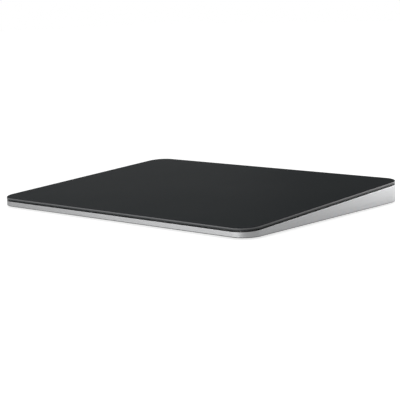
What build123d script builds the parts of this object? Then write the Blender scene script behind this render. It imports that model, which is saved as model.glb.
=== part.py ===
from build123d import *
import os
from math import atan2, cos, sin, tan

# Desktop trackpad: a shallow machined aluminium wedge whose whole top is one sheet of black glass.
# The glass and what is bonded under it ride on four steel load beams, which bend a little when the
# glass is pressed, and a haptic engine in the middle shakes them sideways as a click.
# Millimetres. X runs along the width, Y from the low front edge to the high rear edge, Z up.
# The origin lies on the desk, under the middle of the trackpad.

os.makedirs("parts", exist_ok=True)

# Outer form
width = 160.0
depth = 114.9
front_height = 4.9
rear_height = 10.9
corner_radius = 8.7
shadow_gap = 0.5

# Housing
wall = 1.6
floor_thickness = 0.6
base_chamfer = 0.4
rim_chamfer = 0.2
overrun = 1.0

# Bottom cover and feet
foot_stand = 0.75
foot_radius = 5.0
foot_inset = 13.0
foot_seat = 0.25
foot_chamfer = 0.25
foot_clearance = 0.1
cover_thickness = 0.5
cover_lip = 1.2
cover_clearance = 0.15
cover_film_inset = 1.5
bond_film = 0.1

# Touch plate, from the top face down
glass_thickness = 1.2
glass_bevel = 0.2
glass_under_bevel = 0.15
sensor_board_thickness = 0.3
stiffener_thickness = 0.5
stack_gap = 0.7

# Load beams and the pads that they carry
pad_thickness = 0.3
pad_radius = 3.0
pad_inset_x = 8.4
pad_inset_y = 14.0
beam_thickness = 0.4
beam_reach = 15.0
beam_base_length = 9.0
beam_base_width = 9.0
beam_neck_width = 6.0
beam_end_radius = 3.5
beam_notch_radius = 0.9
gauge_length = 4.0
gauge_width = 3.0
gauge_thickness = 0.08

# Slots in the stiffener that clear the screw heads on the beam bases
relief_length = 9.0
relief_width = 3.4

# Haptic engine
haptic_y = -10.0
bracket_length = 40.0
bracket_width = 24.0
bracket_thickness = 0.3
bracket_corner = 2.0
bracket_rail_width = 4.0
bracket_lift = 0.2
haptic_clearance = 0.35
core_width = 22.0
core_back = 5.0
leg_length = 14.0
leg_width = 3.0
coil_side = 1.6
coil_build = 0.35
coil_clearance = 0.05
coil_length = 11.0
coil_corner = 0.3
armature_length = 5.0

# Circuit boards
board_thickness = 0.7
board_corner = 0.8
board_lift = 0.4
standoff_radius = 1.8
standoff_inset = 3.0
connector_height = 0.6
logic_board_gap = 4.0
antenna_width = 3.6
antenna_length = 18.0
antenna_height = 1.2
antenna_clearance = 0.9
window_width = 2.2
window_length = 14.0
processor_size = 7.0
touch_controller_size = 6.0
haptic_driver_size = 4.0
charger_size = 3.6
chip_height = 0.7
shield_length = 12.0
shield_width = 11.0
shield_height = 0.9
shield_corner = 0.6
shield_chamfer = 0.2
chip_place_shares = ((0.0, -0.35), (-0.45, -0.55), (-0.15, 0.25), (0.3, 0.45))
shield_place_share = (0.66, -0.15)

# Battery
battery_front = 8.0
battery_terrace = 4.0
battery_gap = 0.4
battery_chamfer = 0.6
battery_film_inset = 3.0
protection_length = 14.0
protection_width = 3.0
rear_board_gap = 1.0

# Flat leads
lead_thickness = 0.1
lead_corridor = 5.0
gauge_lead_width = 1.6
gauge_lead_clearance = 0.3
gauge_lead_tuck = 1.5
battery_lead_width = 4.0
battery_connector_width = 2.4
port_lead_width = 2.4
port_lead_clearance = 0.5
lead_connector_margin = 0.6
flex_width = 6.0
flex_inset_x = 6.0
flex_inset_y = 16.0
flex_run = 5.0
flex_bend = 0.45
flex_slot_clearance = 0.8
flex_connector_length = 2.4

# Charging socket
shell_width = 8.94
shell_height = 3.16
shell_length = 7.35
shell_wall = 0.3
shell_recess = 0.15
socket_clearance = 0.15
tongue_width = 6.69
tongue_thickness = 0.7
tongue_length = 4.45
tongue_recess = 0.8
tongue_round = 0.2
contact_pitch = 0.5
contact_width = 0.28
contact_thickness = 0.06
contact_length = 3.4
contacts_in_row = 12

# Power switch
knob_length = 5.0
knob_height = 2.2
knob_recess = 0.25
knob_chamfer = 0.15
knob_clearance = 0.15
switch_travel = 2.0
groove_count = 3
groove_pitch = 0.9
groove_width = 0.3
groove_height = 1.2
groove_depth = 0.15
shutter_thickness = 0.4
shutter_gap = 0.3
shutter_overlap = 0.4
shutter_corner = 0.5
marker_thickness = 0.15
marker_overlap = 0.3
stem_width = 1.2
stem_height = 0.8
stem_reach = 1.5
switch_body_length = 12.0
switch_body_depth = 4.5
switch_body_height = 3.0
switch_body_round = 0.3
switch_board_margin = 2.5
port_board_depth = 9.0
port_board_clearance = 0.3
port_board_end_gap = 8.0

# Heights of the flat base, above the desk
cover_top = foot_stand + cover_thickness
floor_bottom = cover_top + bond_film
floor_top = floor_bottom + floor_thickness
board_bottom = floor_top + board_lift
board_top = board_bottom + board_thickness
connector_top = board_top + connector_height

# Plan of the pocket
half_width = width / 2
half_depth = depth / 2
inner_x = half_width - wall
inner_y = half_depth - wall

# The top face is a tilted plane. Everything under it is placed by its drop, square to that plane.
tilt = atan2(rear_height - front_height, depth)
middle_height = (front_height + rear_height) / 2
plate_normal = Axis((0, 0, 0), (0, -sin(tilt), cos(tilt)))


def plate_plane(drop):
    """Plane parallel to the top face and a given drop below it, with its origin over the middle."""
    top = Plane(origin=(0, 0, middle_height), x_dir=(1, 0, 0), z_dir=(0, -sin(tilt), cos(tilt)))
    return top.offset(-drop)


def plate_height(y, drop):
    """Height above the desk, at a given y, of the plane a given drop below the top face."""
    return middle_height + y * tan(tilt) - drop / cos(tilt)


def drop_to_floor(y, lift):
    """Drop at which a plane parallel to the top face passes a given lift over the floor at y."""
    return (middle_height + y * sin(tilt) - floor_top - lift) / cos(tilt)


rim_drop = glass_thickness + shadow_gap
sensor_drop = glass_thickness + bond_film
stiffener_drop = sensor_drop + sensor_board_thickness
stack_drop = stiffener_drop + stiffener_thickness
beam_drop = stack_drop + pad_thickness
beam_seat_drop = beam_drop + beam_thickness

stack_inset = wall + stack_gap
stack_width = width - 2 * stack_inset
stack_depth = depth - 2 * stack_inset
stack_radius = corner_radius - stack_inset

# Places on the touch plate and the load beams
pad_x = inner_x - pad_inset_x
pad_y = inner_y - pad_inset_y
beam_base_x = pad_x - beam_reach
beam_base_inner = beam_base_x - beam_base_length / 2
gauge_x = (beam_base_x + beam_base_length / 2 + pad_x - pad_radius) / 2
corner_signs = ((-1, -1), (1, -1), (-1, 1), (1, 1))
pad_places = [(x * pad_x, y * pad_y) for x, y in corner_signs]
beam_base_places = [(x * beam_base_x, y * pad_y) for x, y in corner_signs]
gauge_places = [(x * gauge_x, y * pad_y) for x, y in corner_signs]

# Places of the haptic engine, whose bracket lies parallel to the top face
bracket_front = haptic_y - bracket_width / 2
bracket_seat_drop = drop_to_floor(bracket_front, bracket_lift)
bracket_top_drop = bracket_seat_drop - bracket_thickness
core_height = bracket_top_drop - stack_drop - haptic_clearance
coil_width = leg_width + 2 * (coil_side + coil_clearance)
leg_height = core_height - 2 * (coil_build + coil_clearance)
leg_pitch = (core_width - coil_width) / 2
engine_length = core_back + leg_length + haptic_clearance + armature_length
core_x = -engine_length / 2
leg_x = core_x + core_back
armature_x = leg_x + leg_length + haptic_clearance
rail_pitch = bracket_width - bracket_rail_width

# Places of the logic board and its chips
antenna_x = inner_x - antenna_clearance - antenna_width / 2
logic_left = bracket_length / 2 + logic_board_gap
logic_right = antenna_x - antenna_width / 2 - antenna_clearance
logic_front = bracket_front
logic_rear = battery_front - battery_terrace
logic_x = (logic_left + logic_right) / 2
logic_y = (logic_front + logic_rear) / 2
logic_half_length = (logic_right - logic_left) / 2
logic_half_depth = (logic_rear - logic_front) / 2
logic_standoff_places = [
    (logic_left + standoff_inset, logic_front + standoff_inset),
    (logic_left + standoff_inset, logic_y),
    (logic_right - standoff_inset, logic_front + standoff_inset),
    (logic_right - standoff_inset, logic_rear - standoff_inset),
]
flex_x = logic_left + flex_inset_x
flex_y = logic_front + flex_inset_y
shield_x = logic_x + shield_place_share[0] * logic_half_length
shield_y = logic_y + shield_place_share[1] * logic_half_depth

# Places along the rear wall
port_z = board_top + shell_height / 2
port_board_rear = inner_y - shutter_gap - shutter_thickness - port_board_clearance
port_board_front = port_board_rear - port_board_depth
port_board_y = (port_board_front + port_board_rear) / 2
port_board_half = beam_base_inner - port_board_end_gap
switch_x = -(port_board_half - switch_board_margin - switch_body_length / 2)
port_standoff_x = (shell_width / 2 - switch_x - switch_body_length / 2) / 2
port_standoff_places = [(-port_standoff_x, port_board_y), (port_standoff_x, port_board_y)]

# Places of the battery and the flat leads
battery_half = beam_base_inner - lead_corridor
battery_rear = port_board_front - rear_board_gap
battery_bottom = floor_top + bond_film
cell_front = battery_front + battery_terrace
cell_height = plate_height(cell_front, stack_drop) - battery_gap - battery_bottom
terrace_height = board_top - battery_bottom
battery_lead_x = (logic_left + battery_half) / 2
battery_connector_y = logic_rear - battery_connector_width / 2 - lead_connector_margin
port_lead_x = battery_half + port_lead_clearance + port_lead_width / 2
port_connector_x = port_board_half - standoff_inset

# Machined housing: a wedge with a flat floor, tilted seats inside and two slots in its rear wall
rear_face = Plane(origin=(0, half_depth, port_z), x_dir=(-1, 0, 0), z_dir=(0, 1, 0))
slot_length = knob_length + switch_travel + 2 * knob_clearance
slot_height = knob_height + 2 * knob_clearance

with BuildPart() as housing:
    with BuildSketch(Plane.XY.offset(foot_stand)):
        RectangleRounded(width, depth, corner_radius)
    extrude(amount=rear_height)
    split(bisect_by=plate_plane(rim_drop), keep=Keep.BOTTOM)
    chamfer(housing.faces().sort_by(Axis.Z)[0].edges(), base_chamfer)
    chamfer(housing.faces().sort_by(plate_normal)[-1].edges(), rim_chamfer)
    # Pocket
    with BuildSketch(Plane.XY.offset(floor_top)):
        RectangleRounded(2 * inner_x, 2 * inner_y, corner_radius - wall)
    extrude(amount=rear_height, mode=Mode.SUBTRACT)
    # Seats of the load beams and of the haptic bracket, both parallel to the glass
    with BuildSketch(plate_plane(beam_seat_drop)):
        with Locations(*beam_base_places):
            Rectangle(beam_base_length, beam_base_width)
    extrude(amount=-rear_height)
    with BuildSketch(plate_plane(bracket_seat_drop)):
        with Locations((0, haptic_y)):
            with GridLocations(bracket_length, rail_pitch, 1, 2):
                Rectangle(bracket_length - 2 * bracket_corner, bracket_rail_width)
    extrude(amount=-rear_height)
    # Stand-offs under the circuit boards
    with BuildSketch(Plane.XY.offset(floor_top)):
        with Locations(*logic_standoff_places, *port_standoff_places):
            Circle(standoff_radius)
    extrude(amount=board_lift)
    # Recess for the bottom cover, which also trims the seats below the floor
    with BuildSketch(Plane.XY.offset(floor_bottom)):
        RectangleRounded(width - 2 * cover_lip, depth - 2 * cover_lip, corner_radius - cover_lip)
    extrude(amount=-rear_height, mode=Mode.SUBTRACT)
    # Window in the floor that lets the radio signal out
    with BuildSketch(Plane.XY.offset(floor_top)):
        with Locations((antenna_x, logic_y)):
            SlotOverall(window_length, window_width, rotation=90)
    extrude(amount=-floor_thickness, mode=Mode.SUBTRACT)
    # Openings of the charging socket and the power switch
    with BuildSketch(rear_face.offset(overrun)):
        SlotOverall(shell_width + 2 * socket_clearance, shell_height + 2 * socket_clearance)
        with Locations((-switch_x, 0)):
            SlotOverall(slot_length, slot_height)
    extrude(amount=-overrun - wall - shutter_gap, mode=Mode.SUBTRACT)

housing.part.label = "housing"
export_step(housing.part, "parts/housing.step")

# Touch glass: upright edges flush with the housing, between two planes parallel to the top face
with BuildPart() as touch_glass:
    with BuildSketch():
        RectangleRounded(width, depth, corner_radius)
    extrude(amount=2 * rear_height)
    split(bisect_by=plate_plane(0), keep=Keep.BOTTOM)
    split(bisect_by=plate_plane(glass_thickness), keep=Keep.TOP)
    chamfer(touch_glass.faces().sort_by(plate_normal)[-1].edges(), glass_bevel)
    chamfer(touch_glass.faces().sort_by(plate_normal)[0].edges(), glass_under_bevel)

touch_glass.part.label = "touch_glass"
export_step(touch_glass.part, "parts/touch_glass.step")

# Adhesive sheet and touch sensor board under the glass
with BuildPart() as glass_adhesive:
    with BuildSketch(plate_plane(glass_thickness)):
        RectangleRounded(stack_width, stack_depth, stack_radius)
    extrude(amount=-bond_film)

glass_adhesive.part.label = "glass_adhesive"
export_step(glass_adhesive.part, "parts/glass_adhesive.step")

with BuildPart() as touch_sensor_board:
    with BuildSketch(plate_plane(sensor_drop)):
        RectangleRounded(stack_width, stack_depth, stack_radius)
    extrude(amount=-sensor_board_thickness)

touch_sensor_board.part.label = "touch_sensor_board"
export_step(touch_sensor_board.part, "parts/touch_sensor_board.step")

# Steel stiffener, slotted over the beam bases and where the touch flex comes down
with BuildPart() as stiffener_plate:
    with BuildSketch(plate_plane(stiffener_drop)):
        RectangleRounded(stack_width, stack_depth, stack_radius)
        with Locations(*beam_base_places):
            SlotOverall(relief_length, relief_width, rotation=90, mode=Mode.SUBTRACT)
        with Locations((flex_x, flex_y)):
            SlotOverall(
                flex_width + 2 * (flex_slot_clearance + lead_thickness),
                2 * flex_slot_clearance + lead_thickness,
                rotation=90,
                mode=Mode.SUBTRACT,
            )
    extrude(amount=-stiffener_thickness)

stiffener_plate.part.label = "stiffener_plate"
export_step(stiffener_plate.part, "parts/stiffener_plate.step")

# Soft pads between the stiffener and the ends of the load beams
with BuildPart() as sensor_pads:
    with BuildSketch(plate_plane(stack_drop)):
        with Locations(*pad_places):
            Circle(pad_radius)
    extrude(amount=-pad_thickness)

sensor_pads.part.label = "sensor_pads"
export_step(sensor_pads.part, "parts/sensor_pads.step")

# Load beams: a square base, a neck notched where the strain gauge sits, and a round end
beam_names = ("front_left", "front_right", "rear_left", "rear_right")

for (side, row), beam_name in zip(corner_signs, beam_names):
    with BuildPart() as load_beam:
        with BuildSketch(plate_plane(beam_drop)):
            with Locations((side * beam_base_x, row * pad_y)):
                Rectangle(beam_base_length, beam_base_width)
            with Locations((side * (beam_base_x + pad_x) / 2, row * pad_y)):
                Rectangle(beam_reach, beam_neck_width)
            with Locations((side * pad_x, row * pad_y)):
                Circle(beam_end_radius)
            with Locations((side * gauge_x, row * pad_y)):
                with GridLocations(beam_neck_width, beam_neck_width, 1, 2):
                    Circle(beam_notch_radius, mode=Mode.SUBTRACT)
        extrude(amount=-beam_thickness)

    load_beam.part.label = f"load_beam_{beam_name}"
    export_step(load_beam.part, f"parts/load_beam_{beam_name}.step")

with BuildPart() as strain_gauges:
    with BuildSketch(plate_plane(beam_drop)):
        with Locations(*gauge_places):
            Rectangle(gauge_length, gauge_width)
    extrude(amount=gauge_thickness)

strain_gauges.part.label = "strain_gauges"
export_step(strain_gauges.part, "parts/strain_gauges.step")

# Haptic engine: bracket, E-shaped core with three wound legs, and the armature on the stiffener
with BuildPart() as haptic_bracket:
    with BuildSketch(plate_plane(bracket_top_drop)):
        with Locations((0, haptic_y)):
            RectangleRounded(bracket_length, bracket_width, bracket_corner)
    extrude(amount=-bracket_thickness)

haptic_bracket.part.label = "haptic_bracket"
export_step(haptic_bracket.part, "parts/haptic_bracket.step")

with BuildPart() as haptic_core:
    with BuildSketch(plate_plane(bracket_top_drop)):
        with Locations((core_x + core_back / 2, haptic_y)):
            Rectangle(core_back, core_width)
    extrude(amount=core_height)
    with BuildSketch(plate_plane(bracket_top_drop - coil_build - coil_clearance)):
        with Locations((leg_x + leg_length / 2, haptic_y)):
            with GridLocations(leg_length, leg_pitch, 1, 3):
                Rectangle(leg_length, leg_width)
    extrude(amount=leg_height)

haptic_core.part.label = "haptic_core"
export_step(haptic_core.part, "parts/haptic_core.step")

coil_face = Plane(
    origin=plate_plane(bracket_top_drop - core_height / 2).from_local_coords(
        (leg_x + (leg_length - coil_length) / 2, haptic_y, 0)
    ),
    x_dir=(0, cos(tilt), sin(tilt)),
    z_dir=(1, 0, 0),
)

with BuildPart() as haptic_coils:
    with BuildSketch(coil_face):
        with GridLocations(leg_pitch, leg_pitch, 3, 1):
            RectangleRounded(coil_width, core_height, coil_corner)
            Rectangle(
                leg_width + 2 * coil_clearance, leg_height + 2 * coil_clearance, mode=Mode.SUBTRACT
            )
    extrude(amount=coil_length)

haptic_coils.part.label = "haptic_coils"
export_step(haptic_coils.part, "parts/haptic_coils.step")

with BuildPart() as haptic_armature:
    with BuildSketch(plate_plane(stack_drop)):
        with Locations((armature_x + armature_length / 2, haptic_y)):
            Rectangle(armature_length, core_width)
    extrude(amount=-core_height)

haptic_armature.part.label = "haptic_armature"
export_step(haptic_armature.part, "parts/haptic_armature.step")

# Bottom cover, bonded into the recess, with four shallow pockets for the feet
foot_x = half_width - foot_inset
foot_y = half_depth - foot_inset
foot_places = [(x * foot_x, y * foot_y) for x, y in corner_signs]
cover_gap = cover_lip + cover_clearance

with BuildPart() as bottom_cover:
    with BuildSketch(Plane.XY.offset(foot_stand)):
        RectangleRounded(width - 2 * cover_gap, depth - 2 * cover_gap, corner_radius - cover_gap)
    extrude(amount=cover_thickness)
    with BuildSketch(Plane.XY.offset(foot_stand)):
        with Locations(*foot_places):
            Circle(foot_radius + foot_clearance)
    extrude(amount=foot_seat, mode=Mode.SUBTRACT)

bottom_cover.part.label = "bottom_cover"
export_step(bottom_cover.part, "parts/bottom_cover.step")

film_gap = cover_gap + cover_film_inset

with BuildPart() as cover_adhesive:
    with BuildSketch(Plane.XY.offset(cover_top)):
        RectangleRounded(width - 2 * film_gap, depth - 2 * film_gap, corner_radius - film_gap)
    extrude(amount=bond_film)

cover_adhesive.part.label = "cover_adhesive"
export_step(cover_adhesive.part, "parts/cover_adhesive.step")

foot_names = ("front_left", "front_right", "rear_left", "rear_right")

for place, foot_name in zip(foot_places, foot_names):
    with BuildPart() as foot:
        with BuildSketch():
            with Locations(place):
                Circle(foot_radius)
        extrude(amount=foot_stand + foot_seat)
        chamfer(foot.faces().sort_by(Axis.Z)[0].edges(), foot_chamfer)

    foot.part.label = f"foot_{foot_name}"
    export_step(foot.part, f"parts/foot_{foot_name}.step")

# Battery: a flat pouch cell whose low front terrace carries its protection board
with BuildPart() as battery_cell:
    with BuildSketch(Plane.XY.offset(battery_bottom)):
        with Locations((0, (cell_front + battery_rear) / 2)):
            Rectangle(2 * battery_half, battery_rear - cell_front)
    extrude(amount=cell_height)
    chamfer(battery_cell.faces().sort_by(Axis.Z)[-1].edges(), battery_chamfer)
    chamfer(battery_cell.edges().filter_by(Axis.Z), battery_chamfer)
    with BuildSketch(Plane.XY.offset(battery_bottom)):
        with Locations((0, (battery_front + cell_front) / 2)):
            Rectangle(2 * (battery_half - battery_chamfer), battery_terrace)
    extrude(amount=terrace_height)

battery_cell.part.label = "battery_cell"
export_step(battery_cell.part, "parts/battery_cell.step")

with BuildPart() as battery_adhesive:
    with BuildSketch(Plane.XY.offset(floor_top)):
        with Locations((0, (cell_front + battery_rear) / 2)):
            Rectangle(
                2 * (battery_half - battery_film_inset),
                battery_rear - cell_front - 2 * battery_film_inset,
            )
    extrude(amount=bond_film)

battery_adhesive.part.label = "battery_adhesive"
export_step(battery_adhesive.part, "parts/battery_adhesive.step")

protection_y = battery_front + protection_width / 2

with BuildPart() as battery_protection_board:
    with BuildSketch(Plane.XY.offset(board_top)):
        with Locations((battery_lead_x, protection_y)):
            Rectangle(protection_length, protection_width)
    extrude(amount=connector_height)

battery_protection_board.part.label = "battery_protection_board"
export_step(battery_protection_board.part, "parts/battery_protection_board.step")

# Flat leads that run level from one connector top to the other
with BuildPart() as battery_lead:
    with BuildSketch(Plane.XY.offset(connector_top)):
        with Locations((battery_lead_x, (battery_connector_y + protection_y) / 2)):
            Rectangle(battery_lead_width, protection_y - battery_connector_y)
    extrude(amount=lead_thickness)

battery_lead.part.label = "battery_lead"
export_step(battery_lead.part, "parts/battery_lead.step")

with BuildPart() as port_lead:
    with BuildSketch(Plane.XY.offset(connector_top)):
        with BuildLine():
            Polyline(
                (port_connector_x, port_board_y),
                (port_lead_x, port_board_y),
                (port_lead_x, battery_connector_y),
            )
        trace(line_width=port_lead_width)
    extrude(amount=lead_thickness)

port_lead.part.label = "port_lead"
export_step(port_lead.part, "parts/port_lead.step")

# Strain gauge leads: over the beam, down its inner end, and along the floor to the logic board
gauge_run_x = beam_base_inner - gauge_lead_clearance - gauge_lead_width / 2
gauge_strip_start = beam_base_inner - gauge_lead_clearance - lead_thickness
gauge_strip_end = gauge_x - gauge_length / 2
gauge_run_start = pad_y + gauge_lead_width / 2
cross_x = logic_left + 2 * standoff_inset
cross_front = logic_front - 2 * gauge_lead_width
cross_rear = logic_rear + gauge_lead_width
logic_entry_front = logic_front + gauge_lead_tuck
logic_entry_rear = logic_rear - gauge_lead_tuck
gauge_routes = {
    (-1, -1): [
        (-gauge_run_x, -gauge_run_start),
        (-gauge_run_x, cross_front),
        (cross_x, cross_front),
        (cross_x, logic_entry_front),
    ],
    (1, -1): [(gauge_run_x, -gauge_run_start), (gauge_run_x, logic_entry_front)],
    (-1, 1): [
        (-gauge_run_x, gauge_run_start),
        (-gauge_run_x, cross_rear),
        (cross_x, cross_rear),
        (cross_x, logic_entry_rear),
    ],
    (1, 1): [(gauge_run_x, gauge_run_start), (gauge_run_x, logic_entry_rear)],
}

with BuildPart() as gauge_leads:
    for (side, row), route in gauge_routes.items():
        with BuildSketch(plate_plane(beam_drop)):
            with Locations((side * (gauge_strip_start + gauge_strip_end) / 2, row * pad_y)):
                Rectangle(gauge_strip_end - gauge_strip_start, gauge_lead_width)
        extrude(amount=lead_thickness)
        with BuildSketch(plate_plane(beam_drop - lead_thickness)):
            with Locations((side * (gauge_strip_start + lead_thickness / 2), row * pad_y)):
                Rectangle(lead_thickness, gauge_lead_width)
        extrude(amount=-rear_height)
    split(bisect_by=Plane.XY.offset(floor_top), keep=Keep.TOP)
    for route in gauge_routes.values():
        with BuildSketch(Plane.XY.offset(floor_top)):
            with BuildLine():
                Polyline(*route)
            trace(line_width=gauge_lead_width)
        extrude(amount=lead_thickness)
        with BuildSketch(Plane.XY.offset(floor_top)):
            with Locations(route[-1]):
                Rectangle(gauge_lead_width, gauge_lead_width)
        extrude(amount=board_lift)

gauge_leads.part.label = "gauge_leads"
export_step(gauge_leads.part, "parts/gauge_leads.step")

# Touch flex: an S-shaped ribbon from the sensor board through the stiffener to the logic board
flex_middle = (connector_top + plate_height(flex_y, stack_drop)) / 2

with BuildPart() as touch_flex:
    with BuildSketch(Plane.XZ.offset(-flex_y - flex_width / 2)):
        with BuildLine():
            FilletPolyline(
                (flex_x, middle_height),
                (flex_x, flex_middle),
                (flex_x + flex_run, flex_middle),
                (flex_x + flex_run, connector_top),
                radius=flex_bend,
            )
        trace(line_width=lead_thickness)
    extrude(amount=flex_width)
    split(bisect_by=plate_plane(stiffener_drop), keep=Keep.BOTTOM)

touch_flex.part.label = "touch_flex"
export_step(touch_flex.part, "parts/touch_flex.step")

# Logic board with its chips, radio shield and connectors
with BuildPart() as logic_board:
    with BuildSketch(Plane.XY.offset(board_bottom)):
        with Locations((logic_x, logic_y)):
            RectangleRounded(2 * logic_half_length, 2 * logic_half_depth, board_corner)
    extrude(amount=board_thickness)

logic_board.part.label = "logic_board"
export_step(logic_board.part, "parts/logic_board.step")

chip_sizes = (processor_size, touch_controller_size, haptic_driver_size, charger_size)

with BuildPart() as logic_chips:
    with BuildSketch(Plane.XY.offset(board_top)):
        for chip_size, (share_x, share_y) in zip(chip_sizes, chip_place_shares):
            with Locations((logic_x + share_x * logic_half_length, logic_y + share_y * logic_half_depth)):
                Rectangle(chip_size, chip_size)
    extrude(amount=chip_height)

logic_chips.part.label = "logic_chips"
export_step(logic_chips.part, "parts/logic_chips.step")

with BuildPart() as radio_shield_can:
    with BuildSketch(Plane.XY.offset(board_top)):
        with Locations((shield_x, shield_y)):
            RectangleRounded(shield_length, shield_width, shield_corner)
    extrude(amount=shield_height)
    chamfer(radio_shield_can.faces().sort_by(Axis.Z)[-1].edges(), shield_chamfer)

radio_shield_can.part.label = "radio_shield_can"
export_step(radio_shield_can.part, "parts/radio_shield_can.step")

with BuildPart() as board_connectors:
    with BuildSketch(Plane.XY.offset(board_top)):
        with Locations((flex_x + flex_run, flex_y)):
            Rectangle(flex_connector_length, flex_width + 2 * lead_connector_margin)
        with Locations((battery_lead_x, battery_connector_y)):
            Rectangle(battery_lead_width + 2 * lead_connector_margin, battery_connector_width)
        with Locations((port_lead_x, battery_connector_y)):
            Rectangle(port_lead_width + 2 * lead_connector_margin, battery_connector_width)
        with Locations((port_connector_x, port_board_y)):
            Rectangle(battery_connector_width, port_lead_width + 2 * lead_connector_margin)
    extrude(amount=connector_height)

board_connectors.part.label = "board_connectors"
export_step(board_connectors.part, "parts/board_connectors.step")

with BuildPart() as antenna:
    with BuildSketch(Plane.XY.offset(floor_top)):
        with Locations((antenna_x, logic_y)):
            Rectangle(antenna_width, antenna_length)
    extrude(amount=antenna_height)

antenna.part.label = "antenna"
export_step(antenna.part, "parts/antenna.step")

# Port board behind the battery, carrying the charging socket and the power switch
with BuildPart() as port_board:
    with BuildSketch(Plane.XY.offset(board_bottom)):
        with Locations((0, port_board_y)):
            RectangleRounded(2 * port_board_half, port_board_depth, board_corner)
    extrude(amount=board_thickness)

port_board.part.label = "port_board"
export_step(port_board.part, "parts/port_board.step")

# Charging socket: drawn steel shell, tongue on its base block, and two rows of contacts
mouth = rear_face.offset(-shell_recess)
base_thickness = shell_length - shell_wall - tongue_recess - tongue_length

with BuildPart() as usb_c_shell:
    with BuildSketch(mouth):
        SlotOverall(shell_width, shell_height)
    extrude(amount=-shell_length)
    with BuildSketch(mouth):
        SlotOverall(shell_width - 2 * shell_wall, shell_height - 2 * shell_wall)
    extrude(amount=-shell_length + shell_wall, mode=Mode.SUBTRACT)

usb_c_shell.part.label = "usb_c_shell"
export_step(usb_c_shell.part, "parts/usb_c_shell.step")

with BuildPart() as usb_c_tongue:
    with BuildSketch(mouth.offset(-shell_length + shell_wall)):
        SlotOverall(shell_width - 2 * shell_wall, shell_height - 2 * shell_wall)
    extrude(amount=base_thickness)
    with BuildSketch(mouth.offset(-shell_length + shell_wall + base_thickness)):
        RectangleRounded(tongue_width, tongue_thickness, tongue_round)
    extrude(amount=tongue_length)

usb_c_tongue.part.label = "usb_c_tongue"
export_step(usb_c_tongue.part, "parts/usb_c_tongue.step")

with BuildPart() as usb_c_contacts:
    with BuildSketch(mouth.offset(-tongue_recess - tongue_length)):
        with GridLocations(
            contact_pitch, tongue_thickness + contact_thickness, contacts_in_row, 2
        ):
            Rectangle(contact_width, contact_thickness)
    extrude(amount=contact_length)

usb_c_contacts.part.label = "usb_c_contacts"
export_step(usb_c_contacts.part, "parts/usb_c_contacts.step")

# Power switch, drawn at off: its knob slides towards +X, which uncovers the marker beside it
knob_off_x = switch_x - switch_travel / 2
knob_face = Plane(origin=(knob_off_x, half_depth, port_z), x_dir=(-1, 0, 0), z_dir=(0, 1, 0))
shutter_depth = wall + shutter_gap
shutter_length = slot_length + switch_travel + 2 * shutter_overlap
stem_length = port_board_clearance + stem_reach

with BuildPart() as power_switch_knob:
    with BuildSketch(knob_face.offset(-knob_recess)):
        SlotOverall(knob_length, knob_height)
    extrude(amount=knob_recess - shutter_depth)
    chamfer(power_switch_knob.faces().sort_by(Axis.Y)[-1].edges(), knob_chamfer)
    with BuildSketch(knob_face.offset(-knob_recess)):
        with GridLocations(groove_pitch, groove_height, groove_count, 1):
            Rectangle(groove_width, groove_height)
    extrude(amount=-groove_depth, mode=Mode.SUBTRACT)
    with BuildSketch(knob_face.offset(-shutter_depth)):
        RectangleRounded(shutter_length, slot_height + 2 * shutter_overlap, shutter_corner)
    extrude(amount=-shutter_thickness)
    with BuildSketch(knob_face.offset(-shutter_depth - shutter_thickness)):
        Rectangle(stem_width, stem_height)
    extrude(amount=-stem_length)

power_switch_knob.part.label = "power_switch_knob"
export_step(power_switch_knob.part, "parts/power_switch_knob.step")

marker_length = switch_travel + marker_overlap

with BuildPart() as switch_on_marker:
    with BuildSketch(knob_face.offset(-shutter_depth)):
        with Locations(((knob_length + marker_length) / 2, 0)):
            Rectangle(marker_length, knob_height)
    extrude(amount=marker_thickness)

switch_on_marker.part.label = "switch_on_marker"
export_step(switch_on_marker.part, "parts/switch_on_marker.step")

switch_face = Plane(origin=(switch_x, port_board_rear, port_z), x_dir=(-1, 0, 0), z_dir=(0, 1, 0))

with BuildPart() as power_switch_body:
    with BuildSketch(Plane.XY.offset(board_top)):
        with Locations((switch_x, port_board_rear - switch_body_depth / 2)):
            RectangleRounded(switch_body_length, switch_body_depth, switch_body_round)
    extrude(amount=switch_body_height)
    with BuildSketch(switch_face):
        Rectangle(
            stem_width + switch_travel + 2 * knob_clearance, stem_height + 2 * knob_clearance
        )
    extrude(amount=-stem_reach - knob_clearance, mode=Mode.SUBTRACT)

power_switch_body.part.label = "power_switch_body"
export_step(power_switch_body.part, "parts/power_switch_body.step")
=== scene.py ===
"""The looks of a desktop trackpad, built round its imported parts.

Metres. X runs along the width, Y from the low front edge to the high rear edge, Z up from the
desk. The top face is a tilted plane, and what lies under the glass is placed by its drop below
that plane.
"""

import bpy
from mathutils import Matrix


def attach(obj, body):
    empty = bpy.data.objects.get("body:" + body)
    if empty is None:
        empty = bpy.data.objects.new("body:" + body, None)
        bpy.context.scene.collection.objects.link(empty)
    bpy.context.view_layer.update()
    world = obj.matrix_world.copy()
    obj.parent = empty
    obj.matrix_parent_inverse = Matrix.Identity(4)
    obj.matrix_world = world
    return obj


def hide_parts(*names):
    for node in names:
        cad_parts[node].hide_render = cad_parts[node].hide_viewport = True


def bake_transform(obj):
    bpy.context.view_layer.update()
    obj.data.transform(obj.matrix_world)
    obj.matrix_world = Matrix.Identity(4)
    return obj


bl_info = {
    "name": "Desktop Trackpad",
    "version": (1, 0, 0),
    "blender": (4, 5, 0),
    "location": "3D View > Sidebar > Trackpad",
    "description": "Glass, housing, feet, socket, switch, inner parts and stage of a trackpad",
    "category": "Object",
}

from math import atan, cos, pi, radians, sin

import bpy
import numpy as np
from mathutils import Matrix, Vector

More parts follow.
